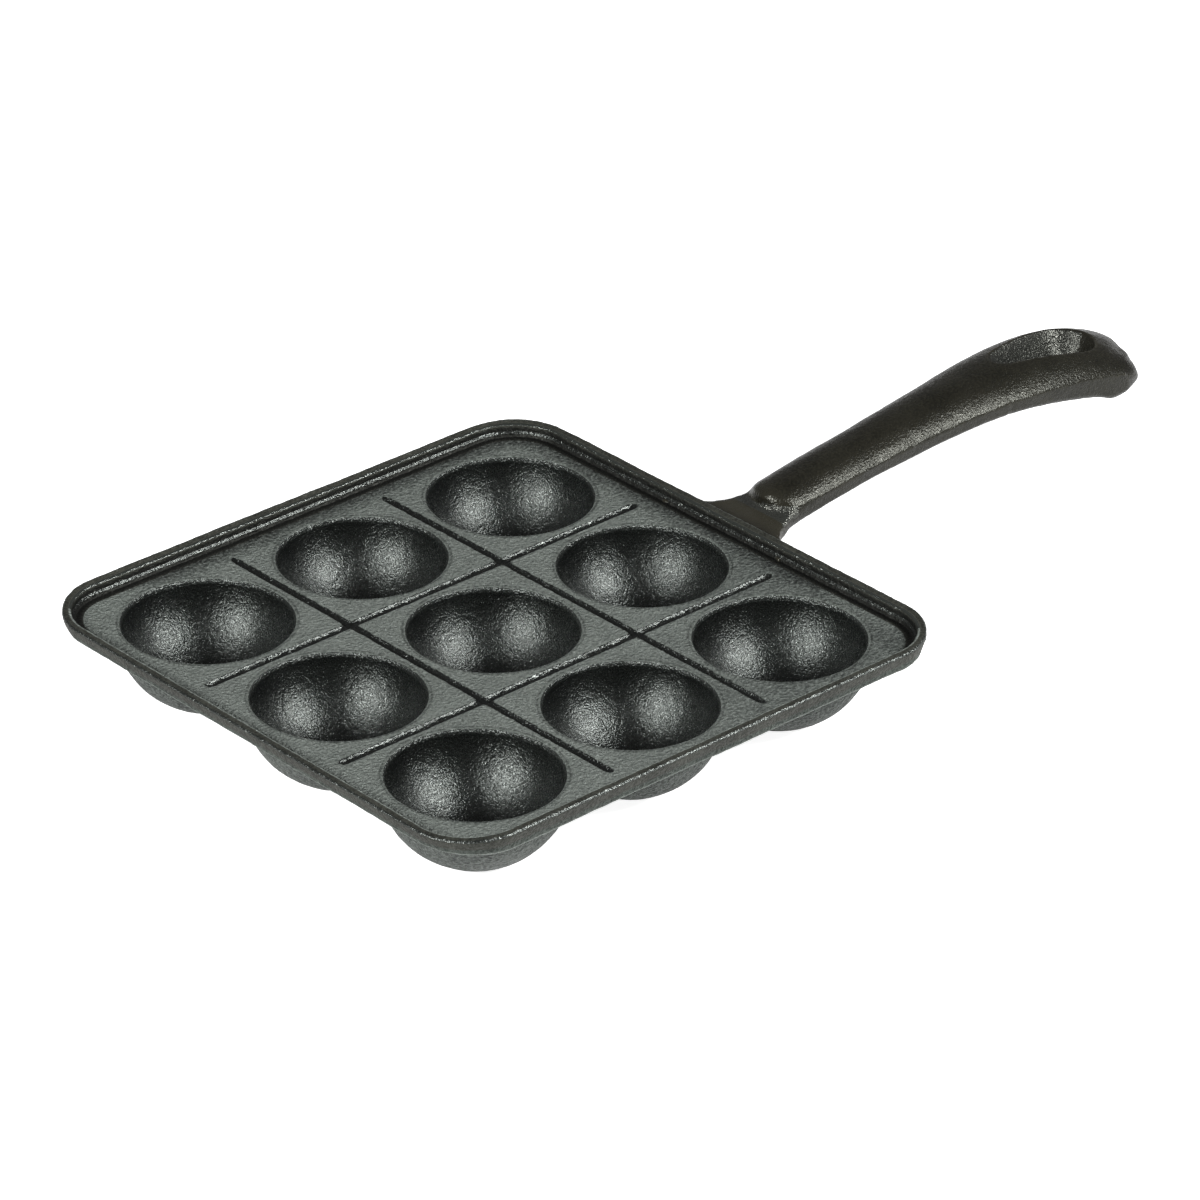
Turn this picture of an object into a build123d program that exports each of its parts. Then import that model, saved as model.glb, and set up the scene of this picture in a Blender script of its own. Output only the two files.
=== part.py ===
from build123d import *
import os
from math import atan2, degrees, sqrt

# Cast-iron takoyaki pan: a square griddle with a raised rim, nine hemispherical cups and a cast
# handle that ends in a hanging eye. The real pan is one casting. It is divided here where its
# section changes, and the pieces meet face to face without overlap.
#
# Frame, in millimetres: +X runs along the handle, +Z is up, and the origin is at the foot of the
# centre cup, so that the pan stands on the plane Z = 0.

# ---------------------------------------------------------------- cups
cups_per_side = 3
cup_radius = 20.0  # inner sphere
cup_wall = 2.2
cup_centre_rise = 0.8  # the sphere's centre stands this far above the cooking surface
cup_gap = 2.1  # clear gap between the outsides of two neighbouring cups
cup_collar = 1.0  # flat ring around each lip that belongs to the cup
cup_lip_round = 0.6
foot_flat_radius = 4.2  # flat on which each cup stands

# ---------------------------------------------------------------- griddle plate and rim
plate_thickness = 2.5
edge_margin = 6.45  # from the outside of an outer cup to the edge of the pan
corner_radius = 16.2
rim_height = 3.1  # above the cooking surface
rim_top_width = 2.4
rim_skirt_depth = 1.7  # the outer wall ends this far below the cooking surface
rim_outer_lean = 1.35  # and draws in by this much on the way down
rim_bevel_width = 2.2  # bevel from the outer wall's foot in to the plate's underside
rim_inner_lean = 0.3
rim_edge_round = 0.4
rim_foot_round = 2.0
rim_foot_land = 0.3  # flat strip between the foot's fillet and the plate piece

# ---------------------------------------------------------------- score grooves between the cups
groove_width = 2.8
groove_depth = 1.0
groove_end_gap = 4.15  # from a groove's end to the rim piece

# ---------------------------------------------------------------- handle
# Lengths along the handle are counted from the pan's outer edge.
handle_length = 131.5
neck_length = 9.0
neck_root_drop = 2.3  # the neck's top meets the rim this far below the rim's top
waist_beyond_neck = 4.5  # the handle is narrowest this far past the neck
waist_half_width = 8.3
neck_flare_radius = 12.0  # concave flanks that widen from the waist to the rim
flank_lean = 0.5  # each flank of the grip leans in by this much down to the underside
toe_radius = 8.6  # rounded nose of the grip's crown, in plan
toe_land = 0.8  # the crown's nose starts this far past the neck
toe_edge_round = 2.0
tip_bulge = 13.7  # the tip is half an ellipse in plan: its reach along the handle
tip_edge_round = 4.5
tip_foot_round = 1.8
underside_bevel = 1.0

# Half widths are at the parting line, where the crown meets the flanks.
grip_half_width = 14.8  # at its widest
grip_arch = 9.4  # highest point of the parting line above the cooking surface
grip_crown = 6.7  # greatest rise of the crown above the parting line
grip_flank = 5.7  # greatest depth of the flanks below it
neck_flank = 4.9  # depth of the flanks from the neck's end to the waist
neck_end_parting = 2.1  # height of the parting line where the grip begins
neck_end_crown = 3.6
waist_parting = 2.6
waist_crown = 4.1
neck_top_drop = 0.3  # the neck's flat top lies this far below the parting line

# The grip's shape between its waist and its tip, one row per section: share of the way from the
# neck to the tip, and the shares of the half width, arch, crown and flank that are reached there.
grip_shape = [
    (0.25, 0.574, 0.617, 0.657, 0.702),
    (0.45, 0.649, 0.862, 0.746, 0.684),
    (0.65, 0.824, 1.000, 0.881, 0.719),
    (0.82, 0.932, 0.840, 1.000, 1.000),
    (0.94, 1.000, 0.564, 0.761, 0.947),
    (1.05, 0.980, 0.191, 0.179, 0.386),
]

# ---------------------------------------------------------------- hanging eye
end_piece_length = 49.0  # the piece that holds the eye, counted from the tip
eye_head_from_tip = 18.0  # centre of the teardrop's large end
eye_throat_height = 4.0  # the eye is narrowest this far above the cooking surface
eye_throat_length = 13.0  # between the centres of the teardrop's two ends
eye_throat_head_radius = 3.2
eye_throat_tail_radius = 1.2
eye_mouth_height = 16.0  # the funnel's sizes are given at this level, just above the crown
eye_mouth_length = 23.5
eye_mouth_head_radius = 9.6
eye_mouth_tail_radius = 3.6

# ---------------------------------------------------------------- sizes that follow
cup_outer_radius = cup_radius + cup_wall
cup_pitch = 2 * cup_outer_radius + cup_gap
cup_centre_z = sqrt(cup_outer_radius**2 - foot_flat_radius**2)
surface_z = cup_centre_z - cup_centre_rise
underside_z = surface_z - plate_thickness
lip_radius = sqrt(cup_radius**2 - cup_centre_rise**2)
collar_radius = lip_radius + cup_collar

grid_reach = cup_pitch * (cups_per_side - 1) / 2
pan_half_side = grid_reach + cup_outer_radius + edge_margin
rim_band = rim_top_width + rim_inner_lean + rim_foot_round + rim_foot_land
plate_half_side = pan_half_side - rim_band
rim_top_z = surface_z + rim_height

cup_positions = [i * cup_pitch - grid_reach for i in range(cups_per_side)]
groove_positions = [(a + b) / 2 for a, b in zip(cup_positions, cup_positions[1:])]
groove_round = (groove_width**2 / 4 + groove_depth**2) / (2 * groove_depth)
groove_axis_z = surface_z - groove_depth + groove_round
groove_half_length = plate_half_side - groove_end_gap

os.makedirs("parts", exist_ok=True)


def export(part, name):
    """Label a finished piece and write it under its own name."""
    part.label = name
    export_step(part, f"parts/{name}.step")


# ---------------------------------------------------------------- griddle plate
def groove_cutter(along_x, offset):
    """A capsule that lies in the surface and leaves a round-bottomed groove with round ends."""
    place = (0, offset, groove_axis_z) if along_x else (offset, 0, groove_axis_z)
    direction = (1, 0, 0) if along_x else (0, 1, 0)
    with BuildPart() as capsule:
        with BuildSketch(Plane(place, x_dir=direction, z_dir=(0, 0, 1))):
            SlotOverall(2 * groove_half_length, 2 * groove_round)
            with Locations((0, -groove_round)):
                Rectangle(3 * groove_half_length, 2 * groove_round, mode=Mode.SUBTRACT)
        revolve(axis=Axis(place, direction))
    return capsule.part


with BuildPart() as griddle_plate:
    with BuildSketch(Plane.XY.offset(underside_z)):
        RectangleRounded(2 * plate_half_side, 2 * plate_half_side, corner_radius - rim_band)
        with GridLocations(cup_pitch, cup_pitch, cups_per_side, cups_per_side):
            Circle(collar_radius, mode=Mode.SUBTRACT)
    extrude(amount=plate_thickness)
    for groove_offset in groove_positions:
        add(groove_cutter(True, groove_offset), mode=Mode.SUBTRACT)
        add(groove_cutter(False, groove_offset), mode=Mode.SUBTRACT)
export(griddle_plate.part, "griddle_plate")

# ---------------------------------------------------------------- rim
rim_outer_top = (pan_half_side, rim_top_z)
rim_inner_top = (pan_half_side - rim_top_width, rim_top_z)
rim_foot = (pan_half_side - rim_top_width - rim_inner_lean, surface_z)
rim_skirt_foot = (pan_half_side - rim_outer_lean, surface_z - rim_skirt_depth)

with BuildPart() as rim:
    with BuildLine(Plane.XY.offset(rim_top_z)) as rim_path:
        half_straight = pan_half_side - corner_radius
        side = Line((pan_half_side, 0), (pan_half_side, half_straight))
        for reach in (2, 2, 2, 1):
            corner_arc = JernArc(side @ 1, side % 1, corner_radius, 90)
            side = PolarLine(corner_arc @ 1, reach * half_straight, direction=corner_arc % 1)
    with BuildSketch(Plane.XZ) as rim_section:
        with BuildLine():
            Polyline(
                rim_outer_top,
                rim_inner_top,
                rim_foot,
                (plate_half_side, surface_z),
                (plate_half_side, underside_z),
                (pan_half_side - rim_outer_lean - rim_bevel_width, underside_z),
                rim_skirt_foot,
                rim_outer_top,
            )
        make_face()
        for corner, radius in (
            (rim_outer_top, rim_edge_round),
            (rim_inner_top, rim_edge_round),
            (rim_foot, rim_foot_round),
            (rim_skirt_foot, rim_edge_round),
        ):
            fillet(rim_section.vertices().sort_by_distance(corner)[0], radius)
    sweep(path=rim_path.wire())
export(rim.part, "rim")


# ---------------------------------------------------------------- cups
def make_cup(x, y):
    """One cup: a spherical bowl with a collar that fills its hole in the plate."""
    axis_plane = Plane((x, y, 0), x_dir=(1, 0, 0), z_dir=(0, -1, 0))
    outer_at_underside = sqrt(cup_outer_radius**2 - (cup_centre_z - underside_z) ** 2)
    centre = (0, cup_centre_z)
    with BuildPart() as cup:
        with BuildSketch(axis_plane):
            with BuildLine():
                lip_angle = degrees(atan2(cup_centre_rise, lip_radius))
                CenterArc(centre, cup_radius, -90, 90 - lip_angle)
                Polyline(
                    (lip_radius, surface_z),
                    (collar_radius, surface_z),
                    (collar_radius, underside_z),
                    (outer_at_underside, underside_z),
                )
                foot_angle = degrees(atan2(-cup_centre_z, foot_flat_radius))
                flank_angle = degrees(atan2(underside_z - cup_centre_z, outer_at_underside))
                CenterArc(centre, cup_outer_radius, foot_angle, flank_angle - foot_angle)
                Polyline((foot_flat_radius, 0), (0, 0), (0, cup_centre_z - cup_radius))
            make_face()
        revolve(axis=Axis((x, y, 0), (0, 0, 1)))
        lip = cup.edges().filter_by(GeomType.CIRCLE).sort_by(Axis.Z)[-2:].sort_by(SortBy.RADIUS)[0]
        fillet(lip, min(cup_lip_round, 0.9 * cup_collar))
    return cup.part


for row, cup_y in enumerate(cup_positions, start=1):
    for column, cup_x in enumerate(cup_positions, start=1):
        export(make_cup(cup_x, cup_y), f"cup_{row}_{column}")


# ---------------------------------------------------------------- handle
def along(distance):
    """X of a point at this distance from the pan's edge, along the handle."""
    return pan_half_side + distance


grip_length = handle_length - neck_length
neck_end_half_width = (
    waist_half_width + neck_flare_radius - sqrt(neck_flare_radius**2 - waist_beyond_neck**2)
)
grip_sections = [
    (neck_length, neck_end_half_width, neck_end_parting, neck_end_crown, neck_flank),
    (neck_length + waist_beyond_neck, waist_half_width, waist_parting, waist_crown, neck_flank),
]
for share, *shares in grip_shape:
    section_sizes = [a * b for a, b in zip(shares, (grip_half_width, grip_arch, grip_crown, grip_flank))]
    grip_sections.append((neck_length + share * grip_length, *section_sizes))
widest_half = max(section[1] for section in grip_sections)
neck_end_top = neck_end_parting - neck_top_drop
neck_end_foot = neck_end_parting - neck_flank
neck_top_slope = (waist_parting - neck_end_parting) / waist_beyond_neck
clear = 2 * handle_length  # reach of a cutter that has to pass the whole handle


def section_sketch(distance, half_width, parting, crown, depth):
    """One section of the grip: a crown above the parting line, leaning flanks below it."""
    parting_z = surface_z + parting
    foot_z = parting_z - depth
    foot_half = half_width - flank_lean
    with BuildSketch(Plane.YZ.offset(along(distance))) as section:
        with BuildLine():
            ThreePointArc((-half_width, parting_z), (0, parting_z + crown), (half_width, parting_z))
            Polyline(
                (half_width, parting_z),
                (foot_half, foot_z + underside_bevel),
                (foot_half - underside_bevel, foot_z),
                (underside_bevel - foot_half, foot_z),
                (-foot_half, foot_z + underside_bevel),
                (-half_width, parting_z),
            )
        make_face()
    return section.sketch


def teardrop(height, length, head_radius, tail_radius):
    """The eye's outline in plan, at this height above the cooking surface."""
    with BuildSketch(Plane.XY.offset(surface_z + height)) as outline:
        with Locations((along(handle_length - eye_head_from_tip), 0)):
            Circle(head_radius)
        with Locations((along(handle_length - eye_head_from_tip - length), 0)):
            Circle(tail_radius)
        make_hull()
    return outline.sketch


def make_grip_bar():
    """The whole grip from the neck to the tip, with its eye, before it is divided."""
    neck_top = Plane(
        (along(neck_length), 0, surface_z + neck_end_top),
        x_dir=(1, 0, neck_top_slope),
        z_dir=(-neck_top_slope, 0, 1),
    )
    with BuildPart() as bar:
        for section in grip_sections:
            add(section_sketch(*section))
        loft()
        # the crown's nose: above the neck's plane, what lies outside the rounded toe goes
        with BuildSketch(neck_top):
            with Locations((toe_land + toe_radius, 0)):
                Rectangle(clear, clear, align=(Align.MAX, Align.CENTER))
                Circle(toe_radius, mode=Mode.SUBTRACT)
        extrude(amount=clear, mode=Mode.SUBTRACT)
        toe_wall = bar.faces().filter_by(GeomType.CYLINDER).sort_by(Axis.X)[0]
        fillet(toe_wall.edges().sort_by(Axis.Z)[-1], toe_edge_round)
        # the tip, rounded in plan
        with BuildSketch(Plane.XY.offset(-clear)):
            with Locations((along(handle_length - tip_bulge), 0)):
                Ellipse(tip_bulge, widest_half)
                Rectangle(clear, 2 * widest_half, align=(Align.MAX, Align.CENTER))
        extrude(amount=2 * clear, mode=Mode.INTERSECT)
        tip_edges = bar.faces().sort_by(Axis.X)[-1].edges().sort_by(Axis.Z)
        fillet(tip_edges[-1], tip_edge_round)
        tip_edges = bar.faces().sort_by(Axis.X)[-1].edges().sort_by(Axis.Z)
        fillet(tip_edges[0], tip_foot_round)
        # the eye: a funnel from its mouth to its throat, and a straight hole below
        throat = teardrop(
            eye_throat_height, eye_throat_length, eye_throat_head_radius, eye_throat_tail_radius
        )
        mouth = teardrop(
            eye_mouth_height, eye_mouth_length, eye_mouth_head_radius, eye_mouth_tail_radius
        )
        loft([throat, mouth], ruled=True, mode=Mode.SUBTRACT)
        extrude(throat, amount=-clear, mode=Mode.SUBTRACT)
    return bar.part


grip_bar = make_grip_bar()
end_piece_face = Plane.YZ.offset(along(handle_length - end_piece_length))

with BuildPart() as handle_grip:
    add(grip_bar)
    split(bisect_by=end_piece_face, keep=Keep.BOTTOM)
export(handle_grip.part, "handle_grip")

with BuildPart() as hanging_eye:
    add(grip_bar)
    split(bisect_by=end_piece_face, keep=Keep.TOP)
export(hanging_eye.part, "hanging_eye")

# the neck starts inside the rim's wall, and the rim is then taken out of it
neck_start = -(rim_top_width + rim_inner_lean)
neck_root_top = rim_height - neck_root_drop
flare_centre_y = waist_half_width + neck_flare_radius

with BuildPart() as handle_neck:
    with BuildSketch(Plane.XY.offset(-clear)):
        with Locations((along(neck_start), 0)):
            Rectangle(neck_length - neck_start, 2 * flare_centre_y, align=(Align.MIN, Align.CENTER))
        with Locations(
            (along(neck_length + waist_beyond_neck), flare_centre_y),
            (along(neck_length + waist_beyond_neck), -flare_centre_y),
        ):
            Circle(neck_flare_radius, mode=Mode.SUBTRACT)
    extrude(amount=2 * clear)
    with BuildSketch(Plane.XZ.offset(-clear)):
        with BuildLine():
            Polyline(
                (along(neck_start), underside_z),
                (along(neck_start), surface_z + neck_root_top),
                (along(0), surface_z + neck_root_top),
                (along(neck_length), surface_z + neck_end_top),
                (along(neck_length), surface_z + neck_end_foot),
                (along(0), underside_z),
                close=True,
            )
        make_face()
    extrude(amount=2 * clear, mode=Mode.INTERSECT)
    add(rim.part, mode=Mode.SUBTRACT)
export(handle_neck.part, "handle_neck")
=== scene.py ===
import bpy
import math
import numpy as np
from mathutils import Matrix, Vector


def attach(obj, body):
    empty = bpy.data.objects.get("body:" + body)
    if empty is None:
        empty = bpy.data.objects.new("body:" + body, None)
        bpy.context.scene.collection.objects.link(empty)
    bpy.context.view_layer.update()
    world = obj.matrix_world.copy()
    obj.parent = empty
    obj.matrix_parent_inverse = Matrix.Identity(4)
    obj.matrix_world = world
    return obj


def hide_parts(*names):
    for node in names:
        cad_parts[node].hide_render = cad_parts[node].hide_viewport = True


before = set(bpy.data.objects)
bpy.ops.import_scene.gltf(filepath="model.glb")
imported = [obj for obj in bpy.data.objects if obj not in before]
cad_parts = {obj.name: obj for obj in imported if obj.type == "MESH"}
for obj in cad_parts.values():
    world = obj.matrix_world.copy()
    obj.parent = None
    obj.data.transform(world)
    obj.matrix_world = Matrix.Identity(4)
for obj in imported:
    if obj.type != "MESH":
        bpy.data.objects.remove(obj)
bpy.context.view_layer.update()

# ------------------------------------------------------------------ sizes
# all sizes and places are in millimetres, up to the floor
MM = 0.001  # one millimetre in Blender's metres
TOUCH = 0.01  # points this close to a plane lie on it

CUPS_PER_SIDE = 3
CUP_R = 20.0  # inner sphere
CUP_WALL = 2.2
CUP_GAP = 2.1  # between the outsides of two neighbouring cups
CENTRE_RISE = 0.8  # the sphere's centre stands this far above the cooking surface
COLLAR_WIDTH = 1.0  # flat ring around a cup that belongs to it
FOOT = 4.2  # radius of the flat that a cup stands on
LIP = 0.95  # rounding of a cup's lip
PLATE_THICKNESS = 2.5
EDGE_MARGIN = 6.45  # from the outside of an outer cup to the pan's edge
RIM_BAND = 5.0  # width of the rim's section
CORNER = 16.2  # radius of the pan's corners
GROOVE_WIDTH = 2.8
GROOVE_DEPTH = 1.0
GROOVE_END_GAP = 4.15  # from a groove's end to the rim
CROSS_NARROWING = 1.22  # the grooves along Y are narrower by this factor
NECK_LENGTH = 9.0
HANDLE_LENGTH = 131.5
END_PIECE_LENGTH = 49.0

CUP_OUT = CUP_R + CUP_WALL
CUP_Z = math.sqrt(CUP_OUT**2 - FOOT**2)
SURF = CUP_Z - CENTRE_RISE
UNDER = SURF - PLATE_THICKNESS
COLLAR = math.sqrt(CUP_R**2 - CENTRE_RISE**2) + COLLAR_WIDTH
PITCH = 2 * CUP_OUT + CUP_GAP
CUPS = [(c - (CUPS_PER_SIDE - 1) / 2) * PITCH for c in range(CUPS_PER_SIDE)]
PAN = PITCH + CUP_OUT + EDGE_MARGIN
PLATE = PAN - RIM_BAND
GROOVE_R = (GROOVE_WIDTH**2 / 4 + GROOVE_DEPTH**2) / (2 * GROOVE_DEPTH)
GROOVE_SINK = GROOVE_R - GROOVE_DEPTH
GROOVE_REACH = PLATE - GROOVE_END_GAP - GROOVE_R
NECK_END = PAN + NECK_LENGTH
EYE_START = PAN + HANDLE_LENGTH - END_PIECE_LENGTH

# directions as the camera sees them: level and away from it, across and upward
FAR_SIDE = np.array([0.677, 0.736])
ACROSS = np.array([0.739, -0.674, 0.009])
UPWARD = np.array([0.319, 0.361, 0.877])

# the casting's unevenness: height, size of the lumps, and which noise
RIM_CAST = ((0.06, 0.9, 0), (0.06, 2.4, 2), (0.10, 11.0, 1))
PLATE_CAST = ((0.05, 14.0, 1), (0.015, 1.4, 0))
GROOVE_EDGES = ((0.10, 0.9, 0), (0.06, 2.5, 1))
GROOVE_BED = ((0.12, 0.7, 0), (0.10, 1.5, 2))
CUP_CAST = ((0.035, 1.1, 0), (0.10, 7.0, 1))
HANDLE_CAST = ((0.03, 1.2, 0), (0.05, 3.0, 2), (0.10, 10.0, 1))


# ------------------------------------------------------------------ smooth seeded noise
LATTICE_SIDE = 64
LATTICE_SEEDS = (11, 12, 13)
LATTICE_OFFSET = 300.37  # keeps the part away from the lattice's origin


def lattice(seed):
    return np.random.default_rng(seed).uniform(-1, 1, (LATTICE_SIDE,) * 3)


LATTICES = [lattice(seed) for seed in LATTICE_SEEDS]


def lumps(points, size, which):
    """Smooth value noise, about -1 to 1, with lumps of this size in millimetres."""
    grid = LATTICES[which]
    q = points / size + LATTICE_OFFSET
    i = np.floor(q).astype(int)
    f = q - i
    f = f * f * (3 - 2 * f)
    total = np.zeros(len(points))
    for corner in np.ndindex(2, 2, 2):
        share = np.abs(1 - np.array(corner) - f)
        x, y, z = ((i + corner) % LATTICE_SIDE).T
        total += share[:, 0] * share[:, 1] * share[:, 2] * grid[x, y, z]
    return total


def unevenness(points, waves):
    """How far each point stands out of the plain surface."""
    return sum(height * lumps(points, size, which) for height, size, which in waves)


# ------------------------------------------------------------------ soft steps
def smoothstep(x):
    x = np.clip(x, 0, 1)
    return x * x * (3 - 2 * x)


def rise(x, start, length):
    """Climbs smoothly from 0 at start to 1 at start + length."""
    return smoothstep((x - start) / length)


def fall(x, start, length):
    """Drops smoothly from 1 at start to 0 at start + length."""
    return 1 - rise(x, start, length)


# ------------------------------------------------------------------ mesh helpers
def grid_faces(rows, cols, wrap_rows=False):
    """Quads of a grid of points that is stored row by row. Each row is a closed ring."""
    r0, c0 = np.meshgrid(np.arange(rows if wrap_rows else rows - 1), np.arange(cols), indexing="ij")
    r1, c1 = (r0 + 1) % rows, (c0 + 1) % cols
    quads = np.stack([r0 * cols + c0, r0 * cols + c1, r1 * cols + c1, r1 * cols + c0], -1)
    return quads.reshape(-1, 4)


def vertex_normals(points, quads):
    a, b, c, d = (points[quads[:, k]] for k in range(4))
    face = np.cross(c - a, d - b)
    normals = np.zeros_like(points)
    for k in range(4):
        np.add.at(normals, quads[:, k], face)
    return normals / np.maximum(np.linalg.norm(normals, axis=1, keepdims=True), 1e-12)


def weld(points, faces):
    """Joins points that coincide."""
    _, first, back = np.unique(np.round(points, 4), axis=0, return_index=True, return_inverse=True)
    return points[first], back.reshape(-1)[faces]


def relaxed(points, edges, degree, weight):
    """Each point moved by this weight towards the mean of its neighbours."""
    total = np.zeros_like(points)
    np.add.at(total, edges[:, 0], points[edges[:, 1]])
    np.add.at(total, edges[:, 1], points[edges[:, 0]])
    return points + weight * (total / degree - points)


def read(collection, attribute, width, kind=np.int32):
    """One attribute of all items of a Blender collection, a row for each item."""
    values = np.empty(len(collection) * width, kind)
    collection.foreach_get(attribute, values)
    return values.reshape(-1, width)


def link(name, data):
    thing = bpy.data.objects.new(name, data)
    bpy.context.scene.collection.objects.link(thing)
    return thing


def make_piece(name, points, quads, materials, nodes, which, painted_shade=None, polish_and_highlight=None):
    """A smooth mesh piece from points in millimetres, standing for these nodes.

    which is each quad's place in materials. The last two arguments, from 0 to 1 at each point, say
    where shade is painted in dark, and where the iron is painted lighter as a highlight and made
    smoother.
    """
    mesh = bpy.data.meshes.new(name)
    mesh.vertices.add(len(points))
    mesh.vertices.foreach_set("co", (points * MM).ravel())
    mesh.loops.add(quads.size)
    mesh.loops.foreach_set("vertex_index", quads.ravel())
    mesh.polygons.add(len(quads))
    mesh.polygons.foreach_set("loop_start", np.arange(len(quads)) * 4)
    mesh.update(calc_edges=True)
    mesh.validate()
    mesh.polygons.foreach_set("use_smooth", np.ones(len(mesh.polygons), bool))
    piece = link(name, mesh)
    for material in materials:
        mesh.materials.append(material)
    mesh.polygons.foreach_set("material_index", which.astype(np.int32))
    for label, values in (("painted_shade", painted_shade), ("polish_and_highlight", polish_and_highlight)):
        if values is not None:
            layer = mesh.attributes.new(label, "FLOAT", "POINT")
            layer.data.foreach_set("value", np.clip(values, 0, 1).astype(np.float32))
    mesh.update()
    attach(piece, "root")
    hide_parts(*nodes)


def rounded(corners, radii, steps=8):
    """A closed polyline with its corners rounded. A radius of 0 leaves the corner sharp."""
    out = []
    for i, r in enumerate(radii):
        p = np.array(corners[i], float)
        if r == 0:
            out.append(p)
            continue
        a = np.array(corners[i - 1], float) - p
        b = np.array(corners[(i + 1) % len(corners)], float) - p
        a /= np.linalg.norm(a)
        b /= np.linalg.norm(b)
        half = math.acos(np.clip(a @ b, -1, 1)) / 2
        bisector = (a + b) / np.linalg.norm(a + b)
        centre = p + bisector * r / math.sin(half)
        start = p + a * r / math.tan(half) - centre
        end = p + b * r / math.tan(half) - centre
        a0 = math.atan2(start[1], start[0])
        turn = (math.atan2(end[1], end[0]) - a0 + math.pi) % (2 * math.pi) - math.pi
        for k in range(steps + 1):
            t = a0 + turn * k / steps
            out.append(centre + r * np.array([math.cos(t), math.sin(t)]))
    return np.array(out)


def refine(line, spacing):
    """The same closed polyline with points added so that no stretch is longer than spacing."""
    out = []
    for p, q in zip(line, np.roll(line, -1, 0)):
        n = max(1, math.ceil(np.linalg.norm(q - p) / spacing))
        out += [p + (q - p) * k / n for k in range(n)]
    return np.array(out)


# ------------------------------------------------------------------ node trees
class Tree:
    """A node tree, built from its sources to its output."""

    def __init__(self, owner):
        owner.use_nodes = True
        self.nodes, self.links = owner.node_tree.nodes, owner.node_tree.links
        self.nodes.clear()

    def add(self, kind, inputs=None, **settings):
        """A node with these settings. Each input is a value, a colour or another node's output."""
        node = self.nodes.new("ShaderNode" + kind)
        for setting, value in settings.items():
            setattr(node, setting, value)
        for key, value in (inputs or {}).items():
            socket = node.inputs[key]
            if isinstance(value, bpy.types.NodeSocket):
                self.links.new(value, socket)
            else:
                socket.default_value = (*value, 1) if socket.type == "RGBA" else value
        return node.outputs

    def maths(self, operation, *values):
        return self.add("Math", dict(enumerate(values)), operation=operation)[0]

    def ramp(self, value, start, end, first, last):
        return self.add("MapRange", {"Value": value, "From Min": start, "From Max": end,
                                     "To Min": first, "To Max": last})["Result"]

    def blend(self, factor, a, b):
        return self.add("Mix", {"Factor": factor, "A": a, "B": b}, data_type="RGBA")["Result"]

    def mix_shaders(self, factor, a, b):
        return self.add("MixShader", {0: factor, 1: a, 2: b})[0]

    def sees_white(self, mirrored):
        """1 for rays that see the white background. Mirrored rays see this share of it."""
        path = self.add("LightPath")
        glossy = self.maths("MULTIPLY", path["Is Glossy Ray"], mirrored)
        direct = self.maths("MAXIMUM", path["Is Camera Ray"], path["Is Transmission Ray"])
        return self.maths("MAXIMUM", glossy, direct)


# ------------------------------------------------------------------ materials
MOTTLE = 0.65  # share of the colour's variation that follows the grains, and not the patches
PATCH_SIZE = 9.0  # of the seasoning
SPECKLE = 0.8  # thin painted shade lies in specks
PAINTED_LIGHT_GAIN = 1.5  # painted light makes the iron lighter by this factor
PIT_DULLNESS = 0.12
GRAIN_SHINE = 0.06
# how much smoother the iron is where a highlight is painted
HIGHLIGHT_SMOOTHING = 0.15
# spans of a noise's values over which a change takes place
SHADE_SPAN, PATCH_SPAN = (0.38, 0.62), (0.35, 0.65)
PAINTED_SHADE_SPAN, SHINE_SPAN = (0.25, 0.75), (0.32, 0.68)
# detail of each noise, and the roughness of the grains'
GRAIN_DETAIL, GRAIN_ROUGHNESS = 2.0, 0.55
FINE_DETAIL, LUMP_DETAIL, PATCH_DETAIL = 1.0, 1.0, 3.0


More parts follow.
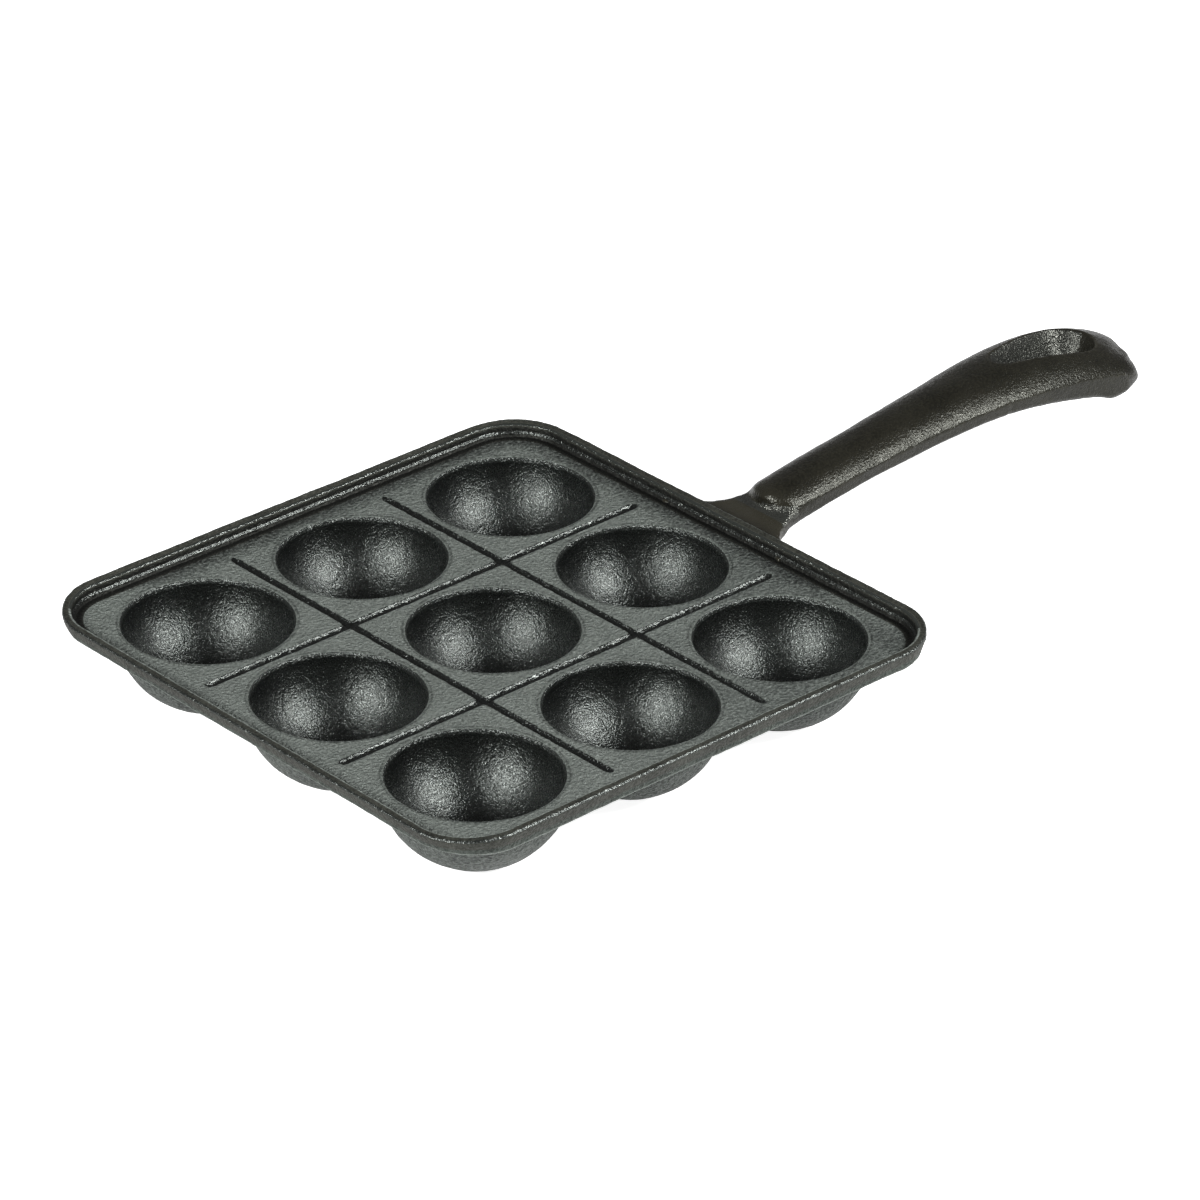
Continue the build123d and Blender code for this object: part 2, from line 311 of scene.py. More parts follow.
def iron(name, dark, light, rough, grain, lump, fine, spec, tint):
    """Seasoned cast iron. grain, lump and fine are the size and height of the relief."""
    material = bpy.data.materials.new(name)
    tree = Tree(material)
    coords = tree.add("TexCoord")["Object"]

    def noise(size, detail, roughness=0.5):
        return tree.add("TexNoise", {"Vector": coords, "Scale": 1 / MM / size, "Detail": detail,
                                     "Roughness": roughness})["Fac"]

    grains = noise(grain[0], GRAIN_DETAIL, GRAIN_ROUGHNESS)
    fines, lumped = noise(fine[0], FINE_DETAIL), noise(lump[0], LUMP_DETAIL)
    painted_shade, polish_and_highlight = (tree.add("Attribute", attribute_name=a)["Fac"] for a in ("painted_shade", "polish_and_highlight"))
    # colour: patches of seasoning, and the pits between the grains painted darker as shade
    patches = tree.ramp(noise(PATCH_SIZE, PATCH_DETAIL), *PATCH_SPAN, 0.0, 1.0 - MOTTLE)
    pit_shade_and_patches = tree.maths("MULTIPLY_ADD", tree.ramp(grains, *SHADE_SPAN, 0.0, 1.0), MOTTLE, patches)
    speckled = tree.maths("MULTIPLY_ADD", tree.maths("SUBTRACT", 0.5, grains), SPECKLE, painted_shade)
    # painted highlight: the colour is painted lighter where the polish attribute is high, and the
    # roughness drops there too
    painted_light = tuple(channel * PAINTED_LIGHT_GAIN for channel in light)
    seasoned_with_painted_light = tree.blend(polish_and_highlight, tree.blend(pit_shade_and_patches, dark, light), painted_light)
    # painted shade: the colour goes to near black where the shade attribute is high
    colour = tree.blend(tree.ramp(speckled, *PAINTED_SHADE_SPAN, 0.0, 1.0), seasoned_with_painted_light, PAINTED_SHADE_COLOUR)
    # roughness: polished grain tops, dull pits
    dull = tree.ramp(grains, *SHINE_SPAN, rough + PIT_DULLNESS, rough - GRAIN_SHINE)
    shiny = tree.maths("MULTIPLY_ADD", polish_and_highlight, -HIGHLIGHT_SMOOTHING, dull)
    surface = {"Base Color": colour, "Roughness": shiny, "Specular IOR Level": spec,
               "Specular Tint": tint}
    # relief: lumps of the mould, sand grains, fine grit
    relief = {}
    for value, height in ((lumped, lump[1]), (grains, grain[1]), (fines, fine[1])):
        bump = tree.add("Bump", {"Strength": 1.0, "Distance": height * MM, "Height": value,
                                 **relief})
        relief = {"Normal": bump["Normal"]}
    bsdf = tree.add("BsdfPrincipled", {**surface, **relief})
    tree.add("OutputMaterial", {"Surface": bsdf["BSDF"]})
    return material


# the near black of painted shade
PAINTED_SHADE_COLOUR = (0.0035, 0.0038, 0.0035)
GREEN_GREY = (0.93, 1.0, 0.945)
OLIVE_GREY = (0.98, 1.0, 0.90)
cooking_iron = iron("cooking_iron", (0.034, 0.0385, 0.0355), (0.172, 0.190, 0.174), 0.48,
                    grain=(0.80, 2.0), lump=(2.2, 0.14), fine=(0.35, 0.06), spec=0.5,
                    tint=GREEN_GREY)
glint_iron = iron("glint_iron", (0.003, 0.0033, 0.003), (0.016, 0.018, 0.016), 0.25,
                  grain=(0.50, 0.22), lump=(1.2, 0.16), fine=(0.3, 0.03), spec=1.0, tint=GREEN_GREY)
cup_iron = iron("cup_iron", (0.0010, 0.0012, 0.0011), (0.0050, 0.0056, 0.0052), 0.25,
                grain=(0.42, 0.17), lump=(1.0, 0.07), fine=(0.25, 0.02), spec=0.8, tint=GREEN_GREY)
lip_iron = iron("lip_iron", (0.003, 0.0034, 0.0031), (0.020, 0.0224, 0.0208), 0.25,
                grain=(0.50, 0.36), lump=(1.2, 0.26), fine=(0.3, 0.03), spec=1.0, tint=GREEN_GREY)
wall_iron = iron("wall_iron", (0.027, 0.0321, 0.0278), (0.111, 0.128, 0.113), 0.52,
                 grain=(0.75, 1.1), lump=(2.0, 0.14), fine=(0.35, 0.05), spec=0.2, tint=GREEN_GREY)
rim_iron = iron("rim_iron", (0.012, 0.0126, 0.0104), (0.052, 0.054, 0.045), 0.44,
                grain=(0.60, 0.28), lump=(1.6, 0.14), fine=(0.3, 0.04), spec=0.35, tint=OLIVE_GREY)
handle_iron = iron("handle_iron", (0.0055, 0.0051, 0.0036), (0.0210, 0.0196, 0.0142), 0.28,
                   grain=(0.55, 0.15), lump=(1.8, 0.06), fine=(0.3, 0.02), spec=0.35,
                   tint=OLIVE_GREY)
eye_iron = iron("eye_iron", (0.0045, 0.0048, 0.0042), (0.0220, 0.0230, 0.0205), 0.28,
                grain=(0.55, 0.30), lump=(1.4, 0.14), fine=(0.3, 0.03), spec=0.9, tint=OLIVE_GREY)

# ------------------------------------------------------------------ rim
# places on the section: offset inwards from the pan's edge, and height above the cooking surface
RIM_HEIGHT = 3.1
SKIRT = -1.7  # the outer wall's foot
RIM_SECTION = rounded(
    [(0, RIM_HEIGHT), (2.4, RIM_HEIGHT), (2.65, 1.35), (3.05, 0.9), (3.35, 0.12), (RIM_BAND, 0),
     (RIM_BAND, -PLATE_THICKNESS), (3.55, -PLATE_THICKNESS), (1.35, SKIRT)],
    [0.8, 0.7, 0.15, 0.3, 0.4, 0, 0, 0.4, 0.7],
)
SECTION_SPACING, PATH_SPACING = 0.4, 0.5
# the section's edges that have a finish of their own, and how far it reaches
OUTER_EDGE, OUTER_REACH = (0.23, 2.87), 0.5
CREST, CREST_REACH = (2.1, 2.95), 0.34
STEP, STEP_REACH = (2.85, 1.12), 0.35
SKIRT_FOOT, SKIRT_REACH = (1.45, -1.55), 0.30
# below, pairs are where a soft step starts and how long it is
FAR_TURN = (-0.3, 0.6)
RAISED, RAISED_ABOVE, RAISED_INWARDS = 0.65, 1.5, (0.4, 1.3)  # cast higher along the far sides
LOWERED, SKIRT_LOWERED, LOWERED_WIDTH = 0.16, 0.30, 3  # cast lower opposite the handle
INNER_SHADE, SHADE_START = 0.95, (2.4, 0.2)  # painted shade on the inner wall below the crest
SHADE_THINNING, SHADE_END = 0.35, (3.4, 1.6)
# painted highlight lines along the crest and the skirt's foot fade out over this
HIGHLIGHT_LINE = (0.15, 0.35)
WALL, INSIDE = 0.12, -0.01  # the outer wall's strips, and the height above which the inside begins
PLATE_JOINT = 0.1  # the rim is even where it meets the plate


def rim_path(spacing):
    """Points and outward normals along the pan's outer edge."""
    c = PAN - CORNER
    points, normals = [], []
    for quarter in range(4):
        turn = quarter * math.pi / 2
        spin = np.array([[math.cos(turn), -math.sin(turn)], [math.sin(turn), math.cos(turn)]])
        n = int(2 * c / spacing)
        for k in range(n):
            points.append(spin @ np.array([PAN, -c + 2 * c * k / n]))
            normals.append(spin @ np.array([1.0, 0.0]))
        n = int(CORNER * math.pi / 2 / spacing)
        for k in range(n):
            a = math.pi / 2 * k / n
            d = np.array([math.cos(a), math.sin(a)])
            points.append(spin @ (np.array([c, c]) + CORNER * d))
            normals.append(spin @ d)
    return np.array(points), np.array(normals)


def build_rim():
    section = refine(RIM_SECTION, SECTION_SPACING)
    path, outward = rim_path(PATH_SPACING)
    rows = len(path)
    s, h = section.T
    far = rise(outward @ FAR_SIDE, *FAR_TURN)[:, None]
    opposite = smoothstep(-outward[:, :1])
    raised = RAISED * far * fall(s, *RAISED_INWARDS) * (h > RAISED_ABOVE)
    lowered = opposite * (s < LOWERED_WIDTH) * np.where(h > 0, LOWERED, SKIRT_LOWERED) * h
    xy = path[:, None, :] - outward[:, None, :] * s[:, None]
    z = (h + raised - lowered + SURF)[..., None]
    points = np.concatenate([xy, z], -1).reshape(-1, 3)
    quads = grid_faces(rows, len(section), wrap_rows=True)
    normals = vertex_normals(points, quads)
    on_wall = np.abs(points[:, :2]).max(1) > PAN - 1
    if ((points[:, :2] * normals[:, :2]).sum(1) * on_wall).sum() < 0:
        quads = quads[:, ::-1]
        normals = -normals
    free = np.tile(np.clip(RIM_BAND - PLATE_JOINT - s, 0, 1), rows)
    points = points + normals * (unevenness(points, RIM_CAST) * free)[:, None]
    # finish of each strip of the section: glinting edges, and painted highlight lines along crest
    # and skirt
    middle = (section + np.roll(section, -1, 0)) / 2

    def near_edge(place, reach):
        return np.hypot(*(middle - place).T) < reach

    under = (middle[:, 0] < WALL) | (middle[:, 1] < INSIDE)
    outer, crest = near_edge(OUTER_EDGE, OUTER_REACH), near_edge(CREST, CREST_REACH)
    step, skirt = near_edge(STEP, STEP_REACH), near_edge(SKIRT_FOOT, SKIRT_REACH)
    # far and near sides differ: the lighter cooking_iron paints a reflection along the far sides'
    # outer edge and a highlight along the near sides' crest, and a painted highlight along the
    # skirt's foot on both
    far_kind = np.select([skirt | outer, crest | step, under], [3, 2, 1], 0)
    near_kind = np.select([skirt, outer, crest, under], [3, 2, 3, 1], 0)
    kind = np.where(far > 0.5, far_kind, near_kind)
    # painted shade: the inner wall darkened, thinning towards the plate
    painted_shade = (h > INSIDE) * (INNER_SHADE * rise(s, *SHADE_START) - SHADE_THINNING * rise(s, *SHADE_END))
    # painted highlight: lighter lines along the skirt's foot and the crest
    to_line = np.min([np.hypot(*(section - place).T) for place in (SKIRT_FOOT, CREST)], 0)
    painted_light = fall(to_line, *HIGHLIGHT_LINE)
    make_piece("rim_casting", points, quads, [rim_iron, wall_iron, glint_iron, cooking_iron],
               ["rim"], kind.ravel(), np.tile(painted_shade, rows), np.tile(painted_light, rows))


build_rim()


# ------------------------------------------------------------------ griddle plate
SPOKES = 44  # of a cup and of the plate around it, in each eighth of the turn
EDGE_STRIP = 1.45  # strip along a cell's outline that holds half a groove
RINGS, EDGE_RINGS = 12, 8  # of points, up to that strip and across it
RIM_FADE = 1.5  # the plate is even this close to the rim
BED_FROM, SHADE_FROM, GROOVE_FROM = 0.5, 0.35, 0.3  # depths that count as a groove, the middle one for its painted shade
RIM_SHADE, RIM_SHADE_FADE, FAR_SHADE = 0.67, 0.07, (12, 12)  # painted shade along the far sides, standing for the dark rim wall mirrored in the plate
CUP_SHADE, CUP_SHADE_WIDTH = 0.45, 0.5
PLATE_PAINTED_LIGHT, PAINTED_LIGHT_END = 0.45, (30, 80)  # painted light: the plate painted lighter, less towards the corner on the camera's right
CHORD = 0.03  # a bend's straight stretches cut inside it by less than this


def groove_depth(x, y):
    """Depth of the score grooves below the cooking surface, with ragged edges."""
    depth = np.zeros_like(x)
    ragged = unevenness(np.stack([x, y, 0 * x], -1), GROOVE_EDGES)
    for along, across, narrowing in ((x, y, 1.0), (y, x, CROSS_NARROWING)):
        past = np.maximum(np.abs(along) - GROOVE_REACH, 0)
        r = np.hypot(past, (np.abs(across) - PITCH / 2) * narrowing) + ragged
        depth = np.maximum(depth, np.sqrt(np.maximum(GROOVE_R**2 - r**2, 0)) - GROOVE_SINK)
    return depth


def cell_rays(half):
    """Directions round a cup towards its cell's corners and sides, evenly within each octant."""
    x0, x1, y0, y1 = half
    marks = [0, math.atan2(y1, x1), math.pi / 2, math.atan2(y1, -x0), math.pi,
             math.atan2(-y0, -x0) + 2 * math.pi, 1.5 * math.pi, math.atan2(-y0, x1) + 2 * math.pi,
             2 * math.pi]
    angles = np.concatenate([
        a + (b - a) * np.arange(SPOKES) / SPOKES for a, b in zip(marks, marks[1:])
    ])
    return np.cos(angles), np.sin(angles)


def cell_reach(cos, sin, half, corner, centre, radius):
    """How far each ray runs to the cell's outline, whose one corner may be rounded."""
    x0, x1, y0, y1 = half
    with np.errstate(divide="ignore"):
        tx = np.where(cos > 0, x1 / cos, np.where(cos < 0, -x0 / cos, np.inf))
        ty = np.where(sin > 0, y1 / sin, np.where(sin < 0, -y0 / sin, np.inf))
    reach = np.minimum(np.abs(tx), np.abs(ty))
    if corner is not None:
        c = np.array(corner) * centre
        x, y = reach * cos, reach * sin
        in_bend = (x * corner[0] > centre) & (y * corner[1] > centre)
        dot = cos * c[0] + sin * c[1]
        arc = dot + np.sqrt(np.maximum(dot**2 - c @ c + radius**2, 0))
        reach = np.where(in_bend, np.minimum(arc, reach), reach)
    return reach


def past_corner(points):
    """How far points lie from the centre of the nearest corner's rounding, 0 along the sides."""
    return np.hypot(*(np.abs(points[:, :2]) - (PAN - CORNER)).clip(0).T)


def plate_cell(row, column):
    """The plate around one cup: rings of points from its collar to the cell's outline."""
    to_rim, to_next = PLATE - PITCH, PITCH / 2
    half = (to_rim if column == 0 else to_next, to_rim if column == 2 else to_next,
            to_rim if row == 0 else to_next, to_rim if row == 2 else to_next)
    corner = (column - 1, row - 1) if column != 1 and row != 1 else None
    centre, radius = PAN - CORNER - PITCH, CORNER - RIM_BAND
    cos, sin = cell_rays(half)
    outer = cell_reach(cos, sin, half, corner, centre, radius)
    inset = tuple(h - EDGE_STRIP for h in half)
    inner = cell_reach(cos, sin, inset, corner, centre, radius - EDGE_STRIP)
    ring = [COLLAR + (inner - COLLAR) * k / RINGS for k in range(RINGS)]
    ring += [inner + (outer - inner) * k / EDGE_RINGS for k in range(EDGE_RINGS + 1)]
    ring = np.array(ring)
    top = np.stack([CUPS[column] + ring * cos, CUPS[row] + ring * sin, 0 * ring + SURF], -1)
    low = top[[-1, 0]].copy()
    low[..., 2] = UNDER
    points = np.concatenate([top, low]).reshape(-1, 3)
    quads = grid_faces(len(ring) + 2, len(cos), wrap_rows=True)
    # no wall where two cells meet
    middle = (points[quads[:, 0]] + points[quads[:, 1]]) / 2
    wall = np.arange(len(quads)) // len(cos) == len(ring) - 1
    on_side = np.abs(middle[:, :2]).max(1) > PLATE - TOUCH
    on_bend = np.abs(middle[:, :2]).min(1) > PAN - CORNER
    at_rim = on_side | (on_bend & (past_corner(middle) > radius - CHORD))
    return points, quads[~(wall & ~at_rim)]


def build_plate():
    all_points, all_faces, count = [], [], 0
    for row, column in np.ndindex(CUPS_PER_SIDE, CUPS_PER_SIDE):
        points, quads = plate_cell(row, column)
        all_points.append(points)
        all_faces.append(quads + count)
        count += len(points)
    points, quads = weld(np.concatenate(all_points), np.concatenate(all_faces))
    x, y = points[:, 0], points[:, 1]
    top = points[:, 2] > SURF - TOUCH
    depth = groove_depth(x, y) * top
    to_side = PLATE - np.abs(points[:, :2]).max(1)
    to_rim = np.minimum(to_side, CORNER - RIM_BAND - past_corner(points))
    to_cup = np.min([np.hypot(x - a, y - b) for a in CUPS for b in CUPS], 0) - COLLAR
    even = np.clip(to_cup, 0, 1) * np.clip(to_rim / RIM_FADE, 0, 1)
    level = unevenness(points, PLATE_CAST) * even
    bed = unevenness(points, GROOVE_BED) * smoothstep(depth / BED_FROM)
    points[:, 2] += top * (level - depth + bed)
    if vertex_normals(points, quads)[top, 2].mean() < 0:
        quads = quads[:, ::-1]
    # painted shade: the plate darkened along the far rim, where it would mirror the dark rim wall
    along_rim = np.clip(RIM_SHADE - RIM_SHADE_FADE * to_rim, 0, 1)
    along_rim *= rise(points[:, :2] @ FAR_SIDE, *FAR_SHADE)
    # painted shade: a dark line round each cup's edge
    round_cup = CUP_SHADE * fall(to_cup, 0, CUP_SHADE_WIDTH)
    # painted shade: dark in the grooves, along the far rim and round the cups
    painted_shade = np.max([smoothstep(depth / SHADE_FROM), along_rim, round_cup], 0)
    # painted light: the plate lighter away from the corner on the camera's right
    painted_light = PLATE_PAINTED_LIGHT * fall(x - y, *PAINTED_LIGHT_END)
    in_groove = depth[quads].mean(1) > GROOVE_FROM
    # painted shade: the grooves along Y get the darker cup_iron, the others glint_iron
    shaded_crosswise = np.abs(np.abs(points[quads, 0].mean(1)) - PITCH / 2) < GROOVE_R
    make_piece("griddle_casting", points, quads, [cooking_iron, glint_iron, cup_iron],
               ["griddle_plate"], in_groove * (1 + shaded_crosswise), painted_shade, painted_light)


build_plate()

# ------------------------------------------------------------------ cups
# points of a cup's profile: in the bowl, over the lip and down the dome
BOWL, OVER_LIP, DOME = 79, 7, 41
LIP_END = BOWL + OVER_LIP
FOOT_INSIDE = 2.0  # a ring of points within the foot
DOME_TOP = 3.4  # the dome is uneven from this far below the cooking surface
FOOT_FADE = 0.6  # and even this close to the table
LIP_HIGHLIGHT = 0.45
# bands of the profile: the lip glitters, and beyond it the cup is grey like the plate
LIP_FROM, GREY_FROM, LIP_FADE = BOWL - 2, BOWL + 3, 3


def cup_profile():
    """Radius and height from the bottom of the bowl over the lip to the foot."""
    c_r = math.sqrt((CUP_R + LIP) ** 2 - (CUP_Z - SURF + LIP) ** 2)
    c_z = SURF - LIP
    touch = math.atan2(c_z - CUP_Z, c_r)
    line = [(0.0, CUP_Z - CUP_R)]
    for k in range(1, BOWL):
        a = -math.pi / 2 + (touch + math.pi / 2) * k / (BOWL - 1)
        line.append((CUP_R * math.cos(a), CUP_Z + CUP_R * math.sin(a)))
    start = math.pi + touch
    for k in range(1, OVER_LIP + 1):
        a = start + (math.pi / 2 - start) * k / OVER_LIP
        line.append((c_r + LIP * math.cos(a), c_z + LIP * math.sin(a)))
    line += [(COLLAR, SURF), (COLLAR, UNDER)]
    top = math.atan2(UNDER - CUP_Z, math.sqrt(CUP_OUT**2 - (CUP_Z - UNDER) ** 2))
    low = math.atan2(-CUP_Z, FOOT)
    for k in range(DOME):
        a = top + (low - top) * k / (DOME - 1)
        line.append((CUP_OUT * math.cos(a), CUP_Z + CUP_OUT * math.sin(a)))
    return np.array(line + [(FOOT_INSIDE, 0.0), (0.0, 0.0)])


def build_cup(row, column):
    line = cup_profile()
    n = 8 * SPOKES
    angle = np.arange(n) * 2 * math.pi / n
    r, z = line[:, :1], line[:, 1:]
    points = np.stack([CUPS[column] + r * np.cos(angle), CUPS[row] + r * np.sin(angle),
                       z + 0 * angle], -1).reshape(-1, 3)
    quads = grid_faces(len(line), n)
    normals = vertex_normals(points, quads)
    if normals[: BOWL // 2 * n, 2].mean() < 0:
        quads = quads[:, ::-1]
        normals = -normals
    radius, height = np.repeat(line, n, 0).T
    order = np.repeat(np.arange(len(line)), n)
    in_bowl, on_dome = fall(order, BOWL, OVER_LIP), np.clip(SURF - DOME_TOP - height, 0, 1)
    free = np.where(order < LIP_END, in_bowl, on_dome)
    free *= np.clip(height / FOOT_FADE, 0, 1) * np.clip(radius, 0, 1)
    points = points + normals * (unevenness(points, CUP_CAST) * free)[:, None]
    band = np.arange(len(line) - 1)
    kind = np.select([band >= GREY_FROM, band >= LIP_FROM], [1, 2], 0)
    # painted highlight: a lighter, smoother ring at the lip
    polish_and_highlight = LIP_HIGHLIGHT * rise(order, LIP_FROM, LIP_FADE) * fall(order, GREY_FROM, LIP_FADE)
    place = f"{row + 1}_{column + 1}"
    make_piece(f"cup_casting_{place}", points, quads, [cup_iron, cooking_iron, lip_iron],
               [f"cup_{place}"], np.repeat(kind, n), polish_and_highlight=polish_and_highlight)


for cup_row, cup_column in np.ndindex(CUPS_PER_SIDE, CUPS_PER_SIDE):
    build_cup(cup_row, cup_column)

# ------------------------------------------------------------------ handle
# the neck and the eye's piece are drawn into the grip, and the neck into the rim, before re-meshing
NECK_OVERLAP, NECK_NARROWING = 1.6, 0.97
NECK_END_LOW, NECK_END_HIGH = SURF - 2.5, SURF + 1.7
RIM_OVERLAP, ROOT_WIDTH = 0.7, 0.3
EYE_OVERLAP, EYE_NARROWING = 1.5, 0.96
VOXEL = 0.4
SOFTEN, SHARPEN, SOFTEN_STEPS = 0.5, -0.45, 6
# below, START and END are where a soft step starts and how long it is
# the ends of the neck's foot run out into the rim
RUN_OUT, RUN_OUT_START, RUN_OUT_TO, RUN_OUT_FADE = 2.2, (13.5, 7), 80.5, 2
# the neck melts into the grip, and the eye's far wall into its round part
ROOT_STEPS, ROOT_START, ROOT_END = 44, (76, 2), (90, 6)
EYE_STEPS, EYE_WALL_START, EYE_WALL_END = 30, (160, 6), (194, 4)
EYE_Y, EYE_Z = (-2, 10), 22
FAR_WALL, FAR_WALL_START = np.array([-0.3, -0.9, 0.3]), (0.2, 0.4)
# convex edges are painted bright as highlights, and the neck's upward-facing top is painted lighter
# than the grip
BULGE_START = (0.018, 0.03)
NECK_PAINTED_LIGHT, NECK_LIGHT_END, NECK_TOP = 0.9, (82, 9), 0.3
# the far wall of the eye and the crease at the grip's root glitter
EYE_GLITTER_X, EYE_FACING = (158, 199), 0.5
CREASE, CREASE_FACING = np.array([-0.45, -0.6, 0.65]), 0.55
CREASE_X, CREASE_Z = (83, 90), (21.5, 24.8)
# where the tip's outline is dressed, how far, and how widely, all across and upward
TIP_DRESSING = (
    ((154.4, 88.2), (-0.55, -0.62), 1.95),
    ((156.3, 85.3), (-0.46, -0.28), 1.1),
    ((157.2, 80.7), (1.02, 0.0), 1.4),
    ((151.1, 75.7), (0.0, -0.98), 2.0),
)


def between(x, limits):
    return (x > limits[0]) & (x < limits[1])


def node_soup(node):
    """A node's points in millimetres and its triangles."""
    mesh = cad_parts[node].data
    mesh.calc_loop_triangles()
    points = read(mesh.vertices, "co", 3, float) / MM
    return weld(points, read(mesh.loop_triangles, "vertices", 3))


def handle_soup():
    """The points and triangles of the handle's three solids, which run into each other."""
    neck, neck_faces = node_soup("handle_neck")
    at_end = neck[:, 0] > NECK_END - TOUCH
    neck[at_end] += (NECK_OVERLAP, 0, 0)
    neck[at_end, 1] *= NECK_NARROWING
    neck[at_end, 2] = np.clip(neck[at_end, 2], NECK_END_LOW, NECK_END_HIGH)
    neck[neck[:, 0] < PAN + ROOT_WIDTH, 0] -= RIM_OVERLAP
    grip, grip_faces = node_soup("handle_grip")
    eye, eye_faces = node_soup("hanging_eye")
    at_start = eye[:, 0] < EYE_START + TOUCH
    middle = eye[at_start].mean(0)
    eye[at_start] = middle + (eye[at_start] - middle) * EYE_NARROWING - (EYE_OVERLAP, 0, 0)
    faces = [neck_faces, grip_faces + len(neck), eye_faces + len(neck) + len(grip)]
    return np.concatenate([neck, grip, eye]), np.concatenate(faces)


def voxel_mesh(points, triangles):
    """The points, quads and edges of one closed skin round these triangles."""
    mesh = bpy.data.meshes.new("handle_soup")
    mesh.from_pydata((points * MM).tolist(), [], triangles.tolist())
    rough = link("handle_soup", mesh)
    remesh = rough.modifiers.new("voxels", "REMESH")
    remesh.mode = "VOXEL"
    remesh.voxel_size = VOXEL * MM
    evaluated = rough.evaluated_get(bpy.context.evaluated_depsgraph_get())
    skin = bpy.data.meshes.new_from_object(evaluated)
    bpy.data.objects.remove(rough)
    quads = read(skin.loops, "vertex_index", 1).reshape(-1, 4)
    return read(skin.vertices, "co", 3, float) / MM, quads, read(skin.edges, "vertices", 2)


def build_handle():
    """One casting from the rim to the tip."""
    points, quads, edges = voxel_mesh(*handle_soup())
    degree = np.bincount(edges.ravel(), minlength=len(points))[:, None]
    for step in range(SOFTEN_STEPS):
        points = relaxed(points, edges, degree, SHARPEN if step % 2 else SOFTEN)
    x, y = points[:, 0], points[:, 1]
    points[:, 0] -= (RUN_OUT * rise(np.abs(y), *RUN_OUT_START)
                     * np.clip((RUN_OUT_TO - x) / RUN_OUT_FADE, 0, 1))
    near_root = (rise(x, *ROOT_START) * fall(x, *ROOT_END))[:, None]
    for _ in range(ROOT_STEPS):
        points = relaxed(points, edges, degree, SOFTEN * near_root)
    x, y, z = points.T
    in_eye = between(y, EYE_Y) & (z > EYE_Z)
    along_eye = rise(x, *EYE_WALL_START) * fall(x, *EYE_WALL_END)
    facing = rise(vertex_normals(points, quads) @ FAR_WALL, *FAR_WALL_START)
    far_wall = (facing * along_eye * in_eye)[:, None]
    for _ in range(EYE_STEPS):
        points = relaxed(points, edges, degree, SOFTEN * far_wall)
    seen = points @ np.transpose([ACROSS, UPWARD])
    for place, move, reach in TIP_DRESSING:
        near = np.exp(-((seen - place) ** 2).sum(1) / (2 * reach**2))
        points = points + near[:, None] * (move[0] * ACROSS + move[1] * UPWARD)
    normals = vertex_normals(points, quads)
    points = points + normals * unevenness(points, HANDLE_CAST)[:, None]
    bulge = np.zeros(len(points))
    for here, there in ((edges[:, 0], edges[:, 1]), (edges[:, 1], edges[:, 0])):
        np.add.at(bulge, here, ((points[here] - points[there]) * normals[here]).sum(1))
    x, y, z = points.T
    # painted light: lighter along convex edges and on the neck's upward-facing top
    painted_top = NECK_PAINTED_LIGHT * fall(x, *NECK_LIGHT_END) * (normals[:, 2] > NECK_TOP)
    painted_light = np.maximum(rise(bulge / degree[:, 0], *BULGE_START), painted_top)
    in_eye = between(x, EYE_GLITTER_X) & between(y, EYE_Y) & (z > EYE_Z)
    in_crease = between(x, CREASE_X) & between(z, CREASE_Z)
    glitters = (normals @ FAR_WALL > EYE_FACING) & in_eye
    glitters |= (normals @ CREASE > CREASE_FACING) & in_crease
    make_piece("handle_casting", points, quads, [handle_iron, eye_iron],
               ["handle_neck", "handle_grip", "hanging_eye"], glitters[quads].all(1), polish_and_highlight=painted_light)


build_handle()

# ------------------------------------------------------------------ floor, all in metres from here
FLOOR_REACH = 6
FLOOR_PAINT = (0.9, 0.9, 0.9)
FLOOR_GLOW = 0.92
FLOOR_MIRRORED = 0.2  # the lit floor is nearly white in reflections already
floor_mesh = bpy.data.meshes.new("floor")
floor_mesh.from_pydata([(-FLOOR_REACH, -FLOOR_REACH, 0), (FLOOR_REACH, -FLOOR_REACH, 0),
                        (FLOOR_REACH, FLOOR_REACH, 0), (-FLOOR_REACH, FLOOR_REACH, 0)],
                       [], [(0, 1, 2, 3)])
floor = link("floor", floor_mesh)
floor_material = bpy.data.materials.new("studio_floor")
floor_mesh.materials.append(floor_material)
tree = Tree(floor_material)
paint = tree.add("BsdfDiffuse", {"Color": FLOOR_PAINT})[0]
unlit, glow = (tree.add("Emission", {"Strength": strength})[0] for strength in (0.0, FLOOR_GLOW))
white = tree.mix_shaders(tree.sees_white(FLOOR_MIRRORED), unlit, glow)
front = tree.add("AddShader", {0: paint, 1: white})[0]
# the floor is clear from below
backfacing, clear = tree.add("NewGeometry")["Backfacing"], tree.add("BsdfTransparent")[0]
tree.add("OutputMaterial", {"Surface": tree.mix_shaders(backfacing, front, clear)})

# ------------------------------------------------------------------ world and lamps
ROOM_HEIGHTS, ROOM_LEVELS = (0.45, 0.95), (0.22, 0.06)  # the room is darker overhead
ROOM_BRIGHT_SIDE = (0.5, 0.6, 0.0)
ROOM_SIDES, ROOM_SIDE_LEVELS = (-0.8, 0.8), (0.25, 1.0)
ROOM_MIRRORED = 0.04  # more would take the black out of the iron
SOFTBOX_SIZE = 0.30
SOFTBOX_DISTANCE = 1.2
SOFTBOX_AIM = Vector((0.03, 0, 0.02))
SOFTBOXES = {"softbox_right": ((0.406, -0.692, 0.595), 14.0),
             "softbox_left": ((-0.872, -0.024, 0.489), 13.0)}

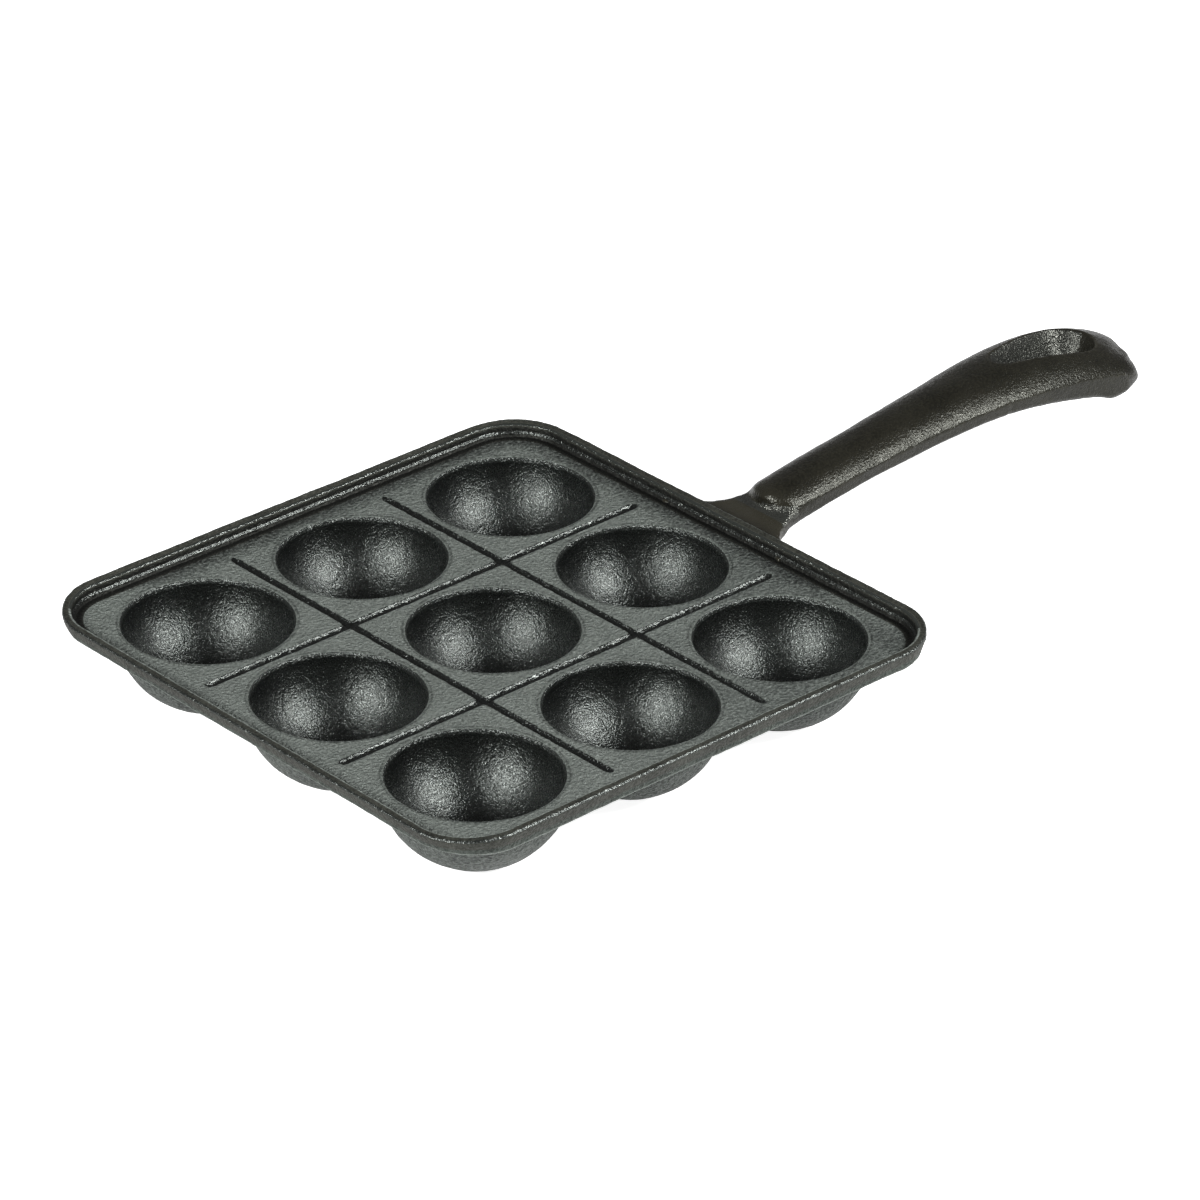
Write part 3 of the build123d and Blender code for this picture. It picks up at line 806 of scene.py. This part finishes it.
world = bpy.data.worlds.new("studio")
bpy.context.scene.world = world
tree = Tree(world)
direction = tree.add("TexCoord")["Generated"]
height = tree.add("SeparateXYZ", {0: direction})["Z"]
side = tree.add("VectorMath", {0: direction, 1: ROOM_BRIGHT_SIDE}, operation="DOT_PRODUCT")["Value"]
level = tree.maths("MULTIPLY", tree.ramp(height, *ROOM_HEIGHTS, *ROOM_LEVELS),
                   tree.ramp(side, *ROOM_SIDES, *ROOM_SIDE_LEVELS))
room, white = (tree.add("Background", {"Strength": strength})[0] for strength in (level, 1.0))
tree.add("OutputWorld", {"Surface": tree.mix_shaders(tree.sees_white(ROOM_MIRRORED), room, white)})

for name, (towards, power) in SOFTBOXES.items():
    light = bpy.data.lights.new(name, "AREA")
    light.shape = "SQUARE"
    light.size = SOFTBOX_SIZE
    light.energy = power
    lamp = link(name, light)
    towards = Vector(towards).normalized()
    lamp.location = SOFTBOX_AIM + towards * SOFTBOX_DISTANCE
    lamp.rotation_euler = towards.to_track_quat("Z", "Y").to_euler()

# ------------------------------------------------------------------ camera
CAMERA_ANGLES = (-42.6221, 28.7681, 0.5575)  # azimuth, elevation and roll in degrees
CAMERA_DISTANCE = 1403.305 * MM
AIM_RIGHT, AIM_UP = 24.4683 * MM, 6.6402 * MM  # from the middle of the cooking surface
FOCAL_LENGTH, FRAME_WIDTH = 6113.979, 1200  # in pixels
SENSOR_WIDTH = 36.0
NEAREST, FURTHEST = 0.05, 50.0
azimuth, elevation, roll = (math.radians(v) for v in CAMERA_ANGLES)
back = Vector((math.sin(azimuth) * math.cos(elevation), -math.cos(azimuth) * math.cos(elevation),
               math.sin(elevation)))
level_right = Vector((0, 0, 1)).cross(back).normalized()
level_up = back.cross(level_right)
right = level_right * math.cos(roll) + level_up * math.sin(roll)
up = level_up * math.cos(roll) - level_right * math.sin(roll)
camera = link("camera", bpy.data.cameras.new("camera"))
camera.data.sensor_width = SENSOR_WIDTH
camera.data.lens = FOCAL_LENGTH / FRAME_WIDTH * SENSOR_WIDTH
camera.data.clip_start = NEAREST
camera.data.clip_end = FURTHEST
place = Matrix((right, up, back)).transposed().to_4x4()
place.translation = (Vector((0, 0, SURF * MM)) + right * AIM_RIGHT + up * AIM_UP
                     + back * CAMERA_DISTANCE)
camera.matrix_world = place
bpy.context.scene.camera = camera
bpy.context.scene.view_settings.view_transform = "Standard"
